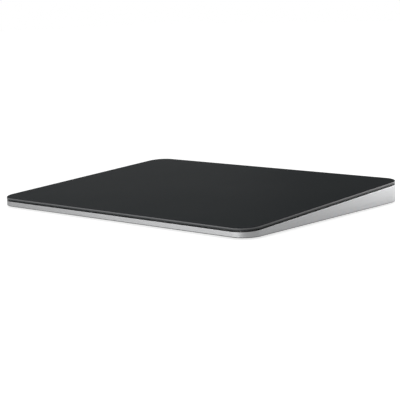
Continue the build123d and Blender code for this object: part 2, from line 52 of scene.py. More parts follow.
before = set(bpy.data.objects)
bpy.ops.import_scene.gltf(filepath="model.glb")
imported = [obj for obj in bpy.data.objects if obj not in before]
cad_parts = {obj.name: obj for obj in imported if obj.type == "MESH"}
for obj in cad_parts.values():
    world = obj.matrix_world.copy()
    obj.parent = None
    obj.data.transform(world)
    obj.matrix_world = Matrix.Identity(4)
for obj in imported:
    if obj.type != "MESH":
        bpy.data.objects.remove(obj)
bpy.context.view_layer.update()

MM = 0.001

# Outer form, as in the parts
WIDTH = 160.0 * MM
DEPTH = 114.9 * MM
FRONT_HEIGHT = 4.9 * MM
REAR_HEIGHT = 10.9 * MM
CORNER_RADIUS = 8.7 * MM
RISE = (REAR_HEIGHT - FRONT_HEIGHT) / DEPTH
TILT = atan(RISE)
MIDDLE_HEIGHT = (FRONT_HEIGHT + REAR_HEIGHT) / 2
WALL = 1.6 * MM

# Heights over the desk
FOOT_STAND = 0.75 * MM
COVER_TOP = 1.25 * MM
FLOOR_BOTTOM = 1.35 * MM
FLOOR_TOP = 1.95 * MM
BOARD_BOTTOM = 2.35 * MM
BOARD_TOP = 3.05 * MM
CONNECTOR_TOP = 3.65 * MM
PORT_HEIGHT = 4.63 * MM

# Drops below the top face
GLASS_THICKNESS = 1.2 * MM
STIFFENER_DROP = 1.6 * MM
RIM_DROP = 1.7 * MM
BEAM_DROP = 2.4 * MM
BEAM_THICKNESS = 0.4 * MM
BEAM_SEAT_DROP = BEAM_DROP + BEAM_THICKNESS
BRACKET_TOP_DROP = 4.309 * MM
BRACKET_SEAT_DROP = 4.609 * MM

# Fittings, as in the parts
SHELL = (8.94 * MM, 3.16 * MM)
SHELL_LENGTH = 7.35 * MM
SHELL_WALL = 0.3 * MM
SHELL_RECESS = 0.15 * MM
OPENING_CLEARANCE = 0.15 * MM
TONGUE = (6.69 * MM, 0.7 * MM)
TONGUE_LENGTH = 4.45 * MM
TONGUE_RECESS = 0.8 * MM
COVER_LIP = 1.2 * MM
COVER_GAP = 1.35 * MM
FOOT_SEAT = 0.25 * MM
FOOT_CLEARANCE = 0.1 * MM
SWITCH_X = -34.0 * MM
SLOT = (7.3 * MM, 2.5 * MM)
KNOB_X = -35.0 * MM
KNOB = (5.0 * MM, 2.2 * MM)
KNOB_RECESS = 0.25 * MM
SHUTTER = (10.1 * MM, 3.3 * MM)
SHUTTER_DEPTH = 1.9 * MM
SHUTTER_THICKNESS = 0.4 * MM
BEAM_BASE_X = 55.0 * MM
GAUGE_X = 63.25 * MM
PAD_X = 70.0 * MM
BEAM_Y = 41.85 * MM
HAPTIC_Y = -10.0 * MM
BRACKET_REACH = 10.0 * MM
WINDOW = (14.0 * MM, 2.2 * MM)
WINDOW_PLACE = (75.7 * MM, -9.0 * MM)

CORNERS = np.array([(-1, -1), (1, -1), (-1, 1), (1, 1)])
CORNER_NAMES = ("front_left", "front_right", "rear_left", "rear_right")
FOOT_PLACES = CORNERS * (67.0 * MM, 44.45 * MM)
BEAM_BASES = CORNERS * (BEAM_BASE_X, BEAM_Y)
STANDOFFS = MM * np.array(
    [(27, -19), (27, -9), (70, -19), (70, 1), (-16.235, 50.35), (16.235, 50.35)]
)

# Meshing: faces wider than this stay flat, edges sharper than this stay creased, a row of points
# lies this far inside the edge of each flat face, or of a thin part's, a cutter's flare starts
# this far outside the face, and a cutter reaches this far past what it cuts
WIDE_FACE = (30 * MM) ** 2
CREASE = radians(32)
SUPPORT = 0.05 * MM
THIN_SUPPORT = 0.02 * MM
PROUD = 0.003 * MM
CUTTER_REACH = 0.5 * MM

# Rounds of a thin layer, of an edge that another part hides, and of a broken edge
LAYER_ROUND = 0.01 * MM
HIDDEN_ROUND = 0.02 * MM
FINE_ROUND = 0.05 * MM


# Properties


def length(name, description, millimetres):
    """A length that the sidebar shows."""
    default = millimetres * MM
    return bpy.props.FloatProperty(
        name=name, description=description, default=default, min=0, unit="LENGTH", precision=5
    )


def colour(name, description, *default):
    """A linear colour that the sidebar shows."""
    return bpy.props.FloatVectorProperty(
        name=name, description=description, default=default, min=0, max=1, size=3, subtype="COLOR"
    )


class TrackpadSizes(bpy.types.PropertyGroup):
    """Edge rounding and small fittings of the dressed trackpad"""

    glass_edge_round: length("Glass edge", "Radius round the top edge of the glass", 0.25)
    glass_under_bevel: length("Glass under bevel", "Bevel round its lower edge", 0.15)
    base_round: length("Base edge", "Radius round the lower edge of the housing", 0.4)
    rim_round: length("Rim edge", "Radius round the rim under the glass", 0.1)
    opening_flare: length("Opening flare", "Bevel round the rear openings", 0.12)
    cover_round: length("Cover edge", "Radius round the lower edge of the cover", 0.12)
    foot_radius: length("Foot radius", "Radius of each round foot", 5.0)
    foot_round: length("Foot edge", "Radius round the lower edge of a foot", 0.3)
    screw_radius: length("Screw head radius", "Radius of a small screw head", 1.3)
    screw_height: length("Screw head height", "Height of a small screw head", 0.45)
    wire_pitch: length("Wire pitch", "Distance between two turns of a coil", 0.25)


class TrackpadColours(bpy.types.PropertyGroup):
    """Linear colours of the finishes"""

    glass: colour("Glass", "Black print behind the etched glass", 0.0066, 0.0085, 0.0094)
    glass_edge: colour("Glass edge", "Ground side of the glass", 0.06, 0.061, 0.063)
    aluminium: colour("Aluminium", "Blasted and anodised aluminium", 0.30, 0.3025, 0.306)
    cover: colour("Cover", "Moulded bottom cover", 0.045, 0.046, 0.048)
    foot: colour("Foot", "Rubber of the feet and pads", 0.018, 0.018, 0.019)
    steel: colour("Steel", "Bare spring and sheet steel", 0.56, 0.56, 0.55)
    knob: colour("Knob", "Knob of the power switch", 0.5, 0.503, 0.51)
    marker: colour("Marker", "Mark that shows when the switch is on", 0.06, 0.42, 0.09)
    socket: colour("Socket", "Plastic of the socket and the switch body", 0.015, 0.015, 0.016)
    chip: colour("Chip", "Moulded chips", 0.02, 0.02, 0.021)
    board: colour("Board", "Solder mask of the circuit boards", 0.012, 0.045, 0.022)
    tin: colour("Tin", "Tinned pads of the boards", 0.55, 0.55, 0.53)
    bond: colour("Bond", "Clear bonding film", 0.55, 0.55, 0.53)
    film: colour("Film", "Amber film of the flat leads", 0.42, 0.17, 0.03)
    copper: colour("Copper", "Enamelled copper wire", 0.72, 0.3, 0.13)
    brass: colour("Contact", "Gilt contacts of the socket", 0.85, 0.62, 0.25)
    pouch: colour("Pouch", "Foil of the battery pouch", 0.42, 0.43, 0.44)


# Surfaces


def outline(centres, radius, first_angle, arc_steps, side_steps):
    """A closed outline round equal circles, counter-clockwise, and the outward direction on it.

    Arc k runs over an equal share of a full turn about centre k: centre + radius (cos a, sin a).
    A straight side joins the end of each arc to the start of the next and keeps the direction.
    """
    centres = np.asarray(centres, float)
    share = 2 * pi / len(centres)
    starts = first_angle + share * np.arange(len(centres))
    angles = starts[:, None] + share * np.linspace(0, 1, arc_steps + 1)
    directions = np.stack([np.cos(angles), np.sin(angles)], -1)
    arcs = centres[:, None] + radius * directions
    along = np.linspace(0, 1, side_steps + 1)[None, 1:-1, None]
    ends, starts_next = arcs[:, -1:], np.roll(arcs[:, :1], -1, axis=0)
    sides = ends + along * (starts_next - ends)
    side_directions = np.repeat(directions[:, -1:], side_steps - 1, axis=1)
    points = np.concatenate([arcs, sides], 1).reshape(-1, 2)
    return points, np.concatenate([directions, side_directions], 1).reshape(-1, 2)


def rectangle(size_x, size_y, radius, arc_steps, side_steps=8, centre=(0, 0)):
    """Outline of a rectangle with rounded corners."""
    half = np.array([size_x / 2 - radius, size_y / 2 - radius])
    places = np.array([(1, 1), (-1, 1), (-1, -1), (1, -1)]) * half + centre
    return outline(places, radius, 0, arc_steps, side_steps)


def slot(size_x, size_y, arc_steps=24, side_steps=4):
    """Outline of a slot with round ends that lies along X."""
    radius = size_y / 2
    reach = size_x / 2 - radius
    return outline([(reach, 0), (-reach, 0)], radius, -pi / 2, arc_steps, side_steps)


def disc(radius, steps, centre):
    """Outline of a circle."""
    angles = np.linspace(0, 2 * pi, steps, endpoint=False)
    directions = np.stack([np.cos(angles), np.sin(angles)], -1)
    return radius * directions + centre, directions


def arc(inset, lift, radius, start, stop, steps=5, slope=0.0):
    """Rows of a profile along an arc: centre + radius (cos a, sin a), with a in degrees.

    Angle 0 points outwards and 90 up.
    """
    angles = np.radians(np.linspace(start, stop, steps + 1))
    slopes = np.full(steps + 1, slope)
    return np.stack([inset - radius * np.cos(angles), lift + radius * np.sin(angles), slopes], -1)


def profile(*parts):
    """A profile from arcs and single rows, one after another.

    A row is an inset, a lift and a slope, which is left out where it is 0.
    """
    rows = [np.array([(*part, 0.0)[:3]]) if isinstance(part, tuple) else part for part in parts]
    return np.concatenate(rows)


def skin(grid, looped=False):
    """Points and faces of a grid whose columns close on themselves.

    Each point is joined to its neighbours by quads. A looped grid closes its rows as well, and
    otherwise one flat face closes each end.
    """
    rows, columns, _ = grid.shape
    index = np.arange(rows * columns).reshape(rows, columns)
    lower = index if looped else index[:-1]
    upper = np.roll(index, -1, 0) if looped else index[1:]
    quads = np.stack([lower, np.roll(lower, -1, 1), np.roll(upper, -1, 1), upper], -1)
    quads = quads.reshape(-1, 4)
    return grid.reshape(-1, 3), [quads] if looped else [quads, index[:1, ::-1], index[-1:]]


def carried(path, rows):
    """Skin made by carrying a profile round an outline.

    Each row of the profile is an inset, a lift and a slope. Its points are the outline's, moved
    inwards by the inset, at the lift plus the slope times the rise of the top face times y.
    """
    points, directions = path
    inset, lift, slope = rows.T[:, :, None]
    plan = points - inset[..., None] * directions
    height = lift + slope * RISE * plan[..., 1]
    return skin(np.concatenate([plan, height[..., None]], -1))


def plate(path, low, high, low_round, high_round, steps=4, support=SUPPORT):
    """Skin of a flat part: an outline between two heights, with both of its edges rounded."""
    rows = profile(
        (low_round + support, low),
        arc(low_round, low + low_round, low_round, -90, 0, steps),
        arc(high_round, high - high_round, high_round, 0, 90, steps),
        (high_round + support, high),
    )
    return carried(path, rows)


def tilted(shape):
    """Turns a flat skin by the tilt about the X axis, with its height 0 in the top face."""
    points, faces = shape
    turn = np.array([(1, 0, 0), (0, cos(TILT), sin(TILT)), (0, -sin(TILT), cos(TILT))])
    return points @ turn + (0, 0, MIDDLE_HEIGHT), faces


def on_rear(shape, x=0.0):
    """Stands a flat skin on the rear wall: its height becomes the distance out of the wall."""
    points, faces = shape
    turn = np.array([(-1, 0, 0), (0, 0, 1), (0, 1, 0)])
    return points @ turn + (x, DEPTH / 2, PORT_HEIGHT), faces


def write_mesh(name, skins):
    """One mesh that holds every skin."""
    offsets = np.cumsum([0] + [len(points) for points, _ in skins])
    faces = []
    for (_, groups), offset in zip(skins, offsets):
        for group in groups:
            faces += (group + offset).tolist()
    mesh = bpy.data.meshes.new(name)
    mesh.from_pydata(np.concatenate([points for points, _ in skins]), [], faces)
    return mesh


def placed(name, data):
    """A new object in the scene."""
    made = bpy.data.objects.new(name, data)
    bpy.context.scene.collection.objects.link(made)
    return made


def soften(mesh):
    """Smooth shading with a crease at every sharp edge. Wide flat faces stay flat."""
    areas = np.empty(len(mesh.polygons), np.float32)
    mesh.polygons.foreach_get("area", areas)
    mesh.polygons.foreach_set("use_smooth", areas < WIDE_FACE)
    mesh.set_sharp_from_angle(angle=CREASE)
    mesh.update()


def combined(target, skins, operation):
    """Joins the target's mesh with the skins, or cuts it by them."""
    tool = placed("tool", write_mesh("tool", skins))
    change = target.modifiers.new("change", "BOOLEAN")
    change.operation, change.solver, change.object = operation, "EXACT", tool
    bpy.context.view_layer.update()
    evaluated = target.evaluated_get(bpy.context.evaluated_depsgraph_get())
    target.data = bpy.data.meshes.new_from_object(evaluated)
    target.modifiers.clear()
    bpy.data.objects.remove(tool)
    if not target.data.polygons:
        raise RuntimeError(f"{target.name} was lost when it was cut")


def even(target):
    """Shades the flat faces of a cut piece flat right up to its rounded edges."""
    soften(target.data)
    target.modifiers.new("even", "WEIGHTED_NORMAL").keep_sharp = True


def piece(name, skins, finish, replaced=None, body="base"):
    """A named piece made of skins, with its finish, in place of the node that it stands for.

    It rides on its body, unless that is a pair of bodies and two points; then its mesh is only
    fixed in place.
    """
    made = placed(name, write_mesh(name, skins))
    made.data.materials.append(finish_of(finish))
    soften(made.data)
    if isinstance(body, str):
        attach(made, body)
    else:
        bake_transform(made)
    if replaced:
        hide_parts(replaced)
    return made


# Finishes


def operator(operation, reflected=False):
    """A method that adds one Math node, with its two operands swapped where it is reflected."""

    def apply(self, other):
        operands = (other, self) if reflected else (self, other)
        return self.nodes.math(operation, *operands)

    return apply


class Value:
    """A number that varies over a surface. Arithmetic on it adds Math nodes."""

    def __init__(self, nodes, socket):
        self.nodes, self.socket = nodes, socket

    __add__, __radd__ = operator("ADD"), operator("ADD", True)
    __sub__, __rsub__ = operator("SUBTRACT"), operator("SUBTRACT", True)
    __mul__, __rmul__ = operator("MULTIPLY"), operator("MULTIPLY", True)
    __truediv__ = operator("DIVIDE")
    __lt__ = operator("LESS_THAN")


class Nodes:
    """The node tree of a material or world, and the ways to add to it."""

    def __init__(self, owner):
        owner.use_nodes = True
        self.tree = owner.node_tree
        self.tree.nodes.clear()

    def plug(self, socket, value):
        """Sets a socket to a number or colour, or links a value to it."""
        if isinstance(value, Value):
            self.tree.links.new(value.socket, socket)
        else:
            socket.default_value = value

    def add(self, kind, inputs=None, output=0, **settings):
        """Adds a node of a type: its settings first, then its sockets. Gives one output."""
        node = self.tree.nodes.new("ShaderNode" + kind)
        for name, value in settings.items():
            setattr(node, name, value)
        for name, value in (inputs or {}).items():
            self.plug(node.inputs[name], value)
        return Value(self, node.outputs[output]) if node.outputs else node

    def math(self, operation, *operands, clamp=False):
        """One Math node on values and numbers."""
        operands = dict(enumerate(operands))
        return self.add("Math", operands, operation=operation, use_clamp=clamp)

    def between(self, share, first, second):
        """One shader that passes into another by a share from 0 to 1."""
        return self.add("MixShader", {0: share, 1: first, 2: second})

    def white(self, kind, strength):
        """White light of a strength, from a surface or from the world."""
        return self.add(kind, {"Color": (1, 1, 1, 1), "Strength": strength})

    def matt(self, grey):
        """A matt ground of a grey."""
        return self.add("BsdfDiffuse", {"Color": (grey, grey, grey, 1)})

    def glowing(self, grey, strength):
        """A matt ground of a grey with a white glow added to it."""
        return self.add("AddShader", {0: self.matt(grey), 1: self.white("Emission", strength)})

    def seen(self):
        """1 for a ray from the camera, off a gloss or through a clear surface, and 0 for others."""
        rays = ("Is Camera Ray", "Is Glossy Ray", "Is Transmission Ray")
        camera, glossy, through = (self.add("LightPath", output=ray) for ray in rays)
        return self.math("ADD", camera + glossy, through, clamp=True)


class Finish(Nodes):
    """A procedural material on Object coordinates. Sizes of patterns are in millimetres."""

    def __init__(self, name):
        self.material = bpy.data.materials.new(name)
        super().__init__(self.material)
        shader = self.add("BsdfPrincipled")
        self.add("OutputMaterial", {"Surface": shader})
        self.shader = shader.socket.node
        self.place = self.add("TexCoord", output="Object")

    def cover(self, tint, rough, height, depth, metallic=0.0, gloss=0.5, coat=0.0):
        """Sets or links what the shader shows.

        The relief is the bump of a height from 0 to 1 that stands for a depth in millimetres.
        """
        bump = self.add("Bump", {"Strength": 1.0, "Distance": depth * MM, "Height": height})
        names = "Base Color", "Roughness", "Normal", "Metallic", "Specular IOR Level", "Coat Weight"
        for name, value in zip(names, (tint, rough, bump, metallic, gloss, coat)):
            self.plug(self.shader.inputs[name], value)

    def axis(self, index):
        """One coordinate of the place, 0 for x, 1 for y and 2 for z."""
        return self.add("SeparateXYZ", {0: self.place}, index)

    def noise(self, size, detail=2.0, rough=0.5, stretch=None):
        """Noise from 0 to 1 with spots of about the size, longer along an axis of low stretch."""
        vector = self.place
        if stretch:
            vector = self.add("Mapping", {"Vector": vector, "Scale": stretch})
        scale = 0.5 / (size * MM)
        inputs = {"Vector": vector, "Scale": scale, "Detail": detail, "Roughness": rough}
        return self.add("TexNoise", inputs)

    def cells(self, size, feature="F1"):
        """Distance to the nearest of scattered points that are about the size apart."""
        inputs = {"Vector": self.place, "Scale": 1 / (size * MM)}
        return self.add("TexVoronoi", inputs, feature=feature)

    def stripes(self, coordinate, pitch):
        """A triangle wave from 0 to 1 that repeats every pitch along a coordinate."""
        return self.math("PINGPONG", coordinate / (pitch * MM / 2), 1.0)

    def steps(self, value, low, high):
        """0 below low, 1 above high, and smooth between."""
        inputs = {"Value": value, 1: low, 2: high}
        return self.add("MapRange", inputs, interpolation_type="SMOOTHSTEP")

    def mix(self, share, first, second):
        """A colour between two, by a share from 0 to 1."""
        first, second = (c if isinstance(c, Value) else (*c, 1) for c in (first, second))
        return self.add("Mix", {0: share, 6: first, 7: second}, 2, data_type="RGBA")

    def shaded(self, base, share, change):
        """A base colour made darker, then lighter by the change, as the share goes from 0 to 1."""
        return self.mix(share, toned(base, 1 - change), toned(base, 1 + change))


def toned(base, factor):
    """A colour that is a factor times as bright."""
    return tuple(np.minimum(np.array(base) * factor, 1))


def metal(made, colours, base, rough, grain, depth, change=0.05, stretch=None):
    """Bare metal: soft clouds in its colour and a fine grain in its gloss and relief."""
    cloud, fine = made.noise(9, 3), made.noise(grain, 2, 0.6, stretch)
    tint = made.shaded(getattr(colours, base), cloud * 0.5 + fine * 0.5, change)
    made.cover(tint, rough - 0.05 + cloud * 0.04 + fine * 0.06, fine, depth, metallic=1.0)


def plastic(made, colours, base, rough, grain, depth, change=0.06, gloss=0.5):
    """Moulded plastic or rubber: spark-eroded texture of rounded cells over a soft mottle."""
    cloud, cell, fine = made.noise(5, 3), made.cells(grain), made.noise(grain * 0.6, 2)
    tint = made.shaded(getattr(colours, base), cloud * 0.6 + cell * 0.4, change)
    rough = rough - 0.04 + cloud * 0.05 + fine * 0.04
    made.cover(tint, rough, cell * 0.6 + fine * 0.4, depth, gloss=gloss)


def housing_aluminium(made, colours):
    """Blasted and anodised: silver, faint clouds, a matt grain, and painted shade round the lower
    edge.
    """
    cloud, fine = made.noise(9, 3), made.noise(0.1, 2, 0.6)
    silver = made.shaded(colours.aluminium, cloud * 0.5 + fine * 0.5, 0.025)
    # Painted shade: up to 0.2 mm above the underside the aluminium is 0.4 times as bright, fading
    # back by 0.45 mm
    above = made.steps(made.axis(2), FOOT_STAND + 0.2 * MM, FOOT_STAND + 0.45 * MM)
    tint = made.mix(above, toned(colours.aluminium, 0.4), silver)
    made.cover(tint, 0.39 + cloud * 0.04 + fine * 0.06, fine, 0.0022, metallic=1.0)


def touch_glass(made, colours):
    """Etched glass over black print: near black, satin, with a very fine tooth."""
    cloud, tooth = made.noise(22), made.noise(0.05)
    tint = made.shaded(colours.glass, cloud * 0.7 + tooth * 0.3, 0.06)
    made.cover(tint, 0.44 + cloud * 0.04 + tooth * 0.04, tooth, 0.0006, gloss=0.004)


def touch_glass_edge(made, colours):
    """Ground side of the glass: ground grey where its bevel meets the top face, painted dark below
    as shade.
    """
    drawn = made.noise(0.08, stretch=(0.05, 0.05, 1))
    drop = MIDDLE_HEIGHT + made.axis(1) * RISE - made.axis(2)
    pale = made.shaded(colours.glass_edge, drawn, 0.08)
    # Painted shade: from 0.4 to 0.75 mm under the top face the ground grey gives way to the black
    # of the glass
    tint = made.mix(made.steps(drop, 0.4 * MM, 0.75 * MM), pale, colours.glass)
    made.cover(tint, 0.3 + drawn * 0.08, drawn, 0.0006, gloss=0.3)


def clear_film(made, colours):
    """Bonding film: pale and slightly cloudy, with small trapped specks."""
    cloud, speck = made.noise(4, 3), made.cells(1.6)
    tint = made.shaded(colours.bond, cloud * 0.7 + speck * 0.3, 0.08)
    made.cover(tint, 0.35, cloud, 0.01)


def sensor_laminate(made, colours):
    """Touch sensor board: rows and columns of thin tracks under dark solder mask."""
    columns, rows = (made.stripes(made.axis(index), 4.2) for index in (0, 1))
    track = made.steps(made.math("MAXIMUM", columns, rows), 0.9, 0.95)
    tint = made.mix(track, toned(colours.board, 0.6), (0.05, 0.09, 0.04))
    rough = 0.42 + made.noise(0.8) * 0.06 - track * 0.08
    made.cover(tint, rough, track, 0.012, gloss=0.4)


def board_laminate(made, colours):
    """Circuit board: green solder mask over tracks, with small tinned pads."""
    track = 1 - made.steps(made.cells(1.1, "DISTANCE_TO_EDGE"), 0.05, 0.09)
    pad = 1 - made.steps(made.cells(2.3), 0.13, 0.16)
    mask = made.mix(track, colours.board, toned(colours.board, 1.7))
    rough = 0.38 - pad * 0.1 + made.noise(0.5) * 0.05
    made.cover(made.mix(pad, mask, colours.tin), rough, track * 0.6 + pad * 0.4, 0.02, pad)


def gauge_foil(made, colours):
    """Strain gauge: a metal foil that runs to and fro on amber film."""
    fold = made.steps(made.stripes(made.axis(1), 0.3), 0.45, 0.6)
    tint = made.mix(fold, colours.film, (0.5, 0.47, 0.42))
    made.cover(tint, 0.35, fold, 0.004, metallic=fold * 0.9)


def flex_film(made, colours):
    """Flat lead: copper tracks along an amber film."""
    track = made.steps(made.stripes(made.axis(0) + made.axis(1), 0.5), 0.5, 0.62)
    tint = made.mix(track, colours.film, toned(colours.film, 0.6))
    made.cover(tint, 0.3 + made.noise(0.6) * 0.08, track, 0.015, gloss=0.4)


def battery_pouch(made, colours):
    """Aluminium pouch of the cell: satin foil with soft wrinkles."""
    wrinkle, fine = made.noise(5, 4, 0.55, (1, 0.35, 1)), made.noise(0.3)
    tint = made.shaded(colours.pouch, wrinkle * 0.6 + fine * 0.4, 0.05)
    rough = 0.36 + wrinkle * 0.06 + fine * 0.04
    made.cover(tint, rough, wrinkle * 0.9 + fine * 0.1, 0.09, metallic=0.85)


def core_iron(made, colours):
    """Core of stacked sheets: dark iron with a fine line between each two sheets."""
    level = made.axis(2) - made.axis(1) * RISE
    seam = made.steps(made.stripes(level, 0.35), 0.78, 0.95)
    tint = made.mix(seam, (0.2, 0.2, 0.205), (0.05, 0.045, 0.04))
    made.cover(tint, 0.45 + made.noise(0.2) * 0.08, 1 - seam, 0.02, metallic=0.8)


def coil_copper(made, colours):
    """Enamelled copper wire: warm and glossy, with painted shade between the turns."""
    # Painted shade: a stripe that repeats every wire pitch darkens the copper between the turns
    turn = made.stripes(made.axis(0), bpy.context.scene.trackpad_sizes.wire_pitch / MM)
    streak = made.noise(0.6, 3)
    tint = made.shaded(colours.copper, streak * 0.5 + turn * 0.5, 0.12)
    made.cover(tint, 0.28 + streak * 0.08, streak, 0.004, metallic=1.0, coat=0.3)


def connector_plastic(made, colours):
    """Board connector: pale moulded body with a dark line at each contact."""
    line = made.steps(made.stripes(made.axis(0) + made.axis(1), 0.4), 0.72, 0.85)
    tint = made.mix(line, (0.5, 0.47, 0.4), (0.3, 0.27, 0.2))
    made.cover(tint, 0.48 + made.noise(0.2) * 0.06, 1 - line, 0.03, gloss=0.4)


def antenna_plastic(made, colours):
    """Antenna carrier: dark plastic with a plated track that folds along it."""
    fold = made.steps(made.stripes(made.axis(1), 2.4), 0.42, 0.5)
    tint = made.mix(fold, (0.03, 0.03, 0.032), (0.75, 0.52, 0.28))
    rough = 0.5 - fold * 0.15 + made.noise(0.15) * 0.06
    made.cover(tint, rough, fold, 0.02, metallic=fold)


# Each finish: its maker, its colour, its roughness, the size and depth of its grain, the change
# of its colour, and the stretch of a metal's grain or the gloss of a plastic
MAKERS = {
    "stiffener_steel": (metal, "steel", 0.36, 0.05, 0.001, 0.04, (0.03, 1, 1)),
    "beam_steel": (metal, "steel", 0.3, 0.04, 0.0008, 0.04, (0.05, 1, 1)),
    "socket_steel": (metal, "steel", 0.3, 0.05, 0.0008, 0.05, (1, 0.04, 1)),
    "shield_steel": (metal, "steel", 0.34, 0.12, 0.001),
    "contact_brass": (metal, "brass", 0.26, 0.05, 0.0005),
    "cover_plastic": (plastic, "cover", 0.52, 0.14, 0.006),
    "foot_rubber": (plastic, "foot", 0.72, 0.18, 0.01, 0.1, 0.35),
    "pad_rubber": (plastic, "foot", 0.78, 0.12, 0.008, 0.1, 0.3),
    "chip_plastic": (plastic, "chip", 0.5, 0.06, 0.002),
    "socket_plastic": (plastic, "socket", 0.42, 0.08, 0.002),
    "knob_plastic": (plastic, "knob", 0.42, 0.08, 0.002, 0.03),
    "marker_green": (plastic, "marker", 0.45, 0.08, 0.002),
}
OWN_MAKERS = (
    housing_aluminium,
    touch_glass,
    touch_glass_edge,
    clear_film,
    sensor_laminate,
    board_laminate,
    gauge_foil,
    flex_film,
    battery_pouch,
    core_iron,
    coil_copper,
    connector_plastic,
    antenna_plastic,
)
MAKERS.update({maker.__name__: (maker,) for maker in OWN_MAKERS})
FINISHES = {}


def finish_of(name):
    """The material of that name, made when it is first asked for."""
    if name not in FINISHES:
        maker, *values = MAKERS[name]
        made = Finish(name)
        maker(made, bpy.context.scene.trackpad_colours, *values)
        FINISHES[name] = made.material
    return FINISHES[name]


# Pieces


class TRACKPAD_OT_stage(bpy.types.Operator):
    """Camera at the photograph's angle, pale floor and soft studio light"""

    bl_idname = "trackpad.stage"
    bl_label = "Stage"

    camera_axes = (
        # right, up, back, place
        (0.74153, 0.67018, -0.03149),
        (-0.08627, 0.14178, 0.98613),
        (0.66535, -0.72853, 0.16295),
        (0.39830, -0.43414, 0.09935),
    )
    camera_lens = 110.55
    sensor_width = 36
    floor_size = 6.0
    ambient = 0.85
    floor_colour = 0.35
    floor_glow = 0.75
    bounce_colour = 0.8
    mirrored_glow = 0.08
    panel_glow = 0.8
    panel_half = (0.0775, 0.055)
    lamps = (
        # name, place, size along its two sides, power
        ("overhead", (0.0, 0.03, 1.0), (0.8, 0.8), 0.8),
        ("rear_left", (-0.669, 0.561, 0.218), (0.4, 0.2), 0.26),
        ("rear_right", (0.13, 0.16, 0.03), (0.14, 0.05), 0.18),
        ("front", (-0.02, -0.24, 0.035), (0.28, 0.06), 0.44),
    )

    def execute(self, context):
        self.make_camera(context.scene)
        self.make_world(context.scene)
        self.make_floor()
        for lamp in self.lamps:
            self.make_lamp(*lamp)
        context.scene.view_settings.view_transform = "Standard"
        return {"FINISHED"}

    def make_camera(self, scene):
        lens = bpy.data.cameras.new("camera")
        lens.lens, lens.sensor_width = self.camera_lens, self.sensor_width
        scene.camera = placed("camera", lens)
        scene.camera.matrix_world = Matrix([*zip(*self.camera_axes), (0, 0, 0, 1)])

    def make_world(self, scene):
        """White where the camera, a gloss or a clear surface looks, and a soft light elsewhere."""
        scene.world = bpy.data.worlds.new("studio")
        nodes = Nodes(scene.world)
        light, white = (nodes.white("Background", strength) for strength in (self.ambient, 1.0))
        nodes.add("OutputWorld", {"Surface": nodes.between(nodes.seen(), light, white)})

    def under(self, nodes):
        """1 below the trackpad, where a pale panel lights the underside, and 0 beside it."""
        place = nodes.add("TexCoord", output="Object")
        inside = 1.0
        for index, half in enumerate(self.panel_half):
            along = nodes.add("SeparateXYZ", {0: place}, index)
            inside = inside * (nodes.math("ABSOLUTE", along) < half)
        return inside

    def make_floor(self):
        """A floor that the camera sees as white with a shadow, and that is clear from below."""
        paint = bpy.data.materials.new("floor_white")
        nodes = Nodes(paint)
        matt = nodes.matt(self.bounce_colour)
        mirrored = nodes.glowing(self.bounce_colour, self.mirrored_glow)
        open_floor = nodes.between(nodes.seen(), matt, mirrored)
        panel = nodes.white("Emission", self.panel_glow)
        others = nodes.between(self.under(nodes), open_floor, panel)
        direct = nodes.glowing(self.floor_colour, self.floor_glow)
        above = nodes.between(nodes.add("LightPath", output="Is Camera Ray"), others, direct)
        below = nodes.add("NewGeometry", output="Backfacing")
        both = nodes.between(below, above, nodes.add("BsdfTransparent"))
        nodes.add("OutputMaterial", {"Surface": both})
        corners = np.array([(-1, -1, 0), (1, -1, 0), (1, 1, 0), (-1, 1, 0)])
        mesh = write_mesh("floor", [(corners * self.floor_size / 2, [np.arange(4)[None]])])
        mesh.materials.append(paint)
        placed("floor", mesh)

    def make_lamp(self, name, place, size, power):
        """A soft rectangular lamp that faces the trackpad."""
        light = bpy.data.lights.new(name, "AREA")
        light.shape, light.size, light.size_y = "RECTANGLE", *size
        light.energy = power
        lamp = placed(name, light)
        lamp.location = place
        lamp.visible_camera = False
        lamp.rotation_euler = (-Vector(place)).to_track_quat("-Z", "Y").to_euler()


class TRACKPAD_OT_glass(bpy.types.Operator):
    """Touch glass: upright ground edges between two faces that lie at the tilt"""

    bl_idname = "trackpad.glass"
    bl_label = "Touch glass"

    edge_lean = radians(45)

    def execute(self, context):
        sizes = context.scene.trackpad_sizes
        under, edge = sizes.glass_under_bevel, sizes.glass_edge_round
        low, top = MIDDLE_HEIGHT - GLASS_THICKNESS / cos(TILT), MIDDLE_HEIGHT
        rows = profile(
            (under + SUPPORT, low, 1),
            (under, low, 1),
            (0, low + under, 1),
            (0, low + under + SUPPORT, 1),
            (0, top - edge - SUPPORT, 1),
            arc(edge, top - edge, edge, 0, 90, 8, 1),
            (edge + SUPPORT, top, 1),
        )
        shape = carried(rectangle(WIDTH, DEPTH, CORNER_RADIUS, 32), rows)
        glass = piece("glass", [shape], "touch_glass", "touch_glass", "touch_plate")
        glass.data.materials.append(finish_of("touch_glass_edge"))
        faces = glass.data.polygons
        normals = np.empty(len(faces) * 3, np.float32)
        faces.foreach_get("normal", normals)
        upright = np.abs(normals[2::3]) < cos(self.edge_lean)
        faces.foreach_set("material_index", upright.astype(np.int32))
        return {"FINISHED"}


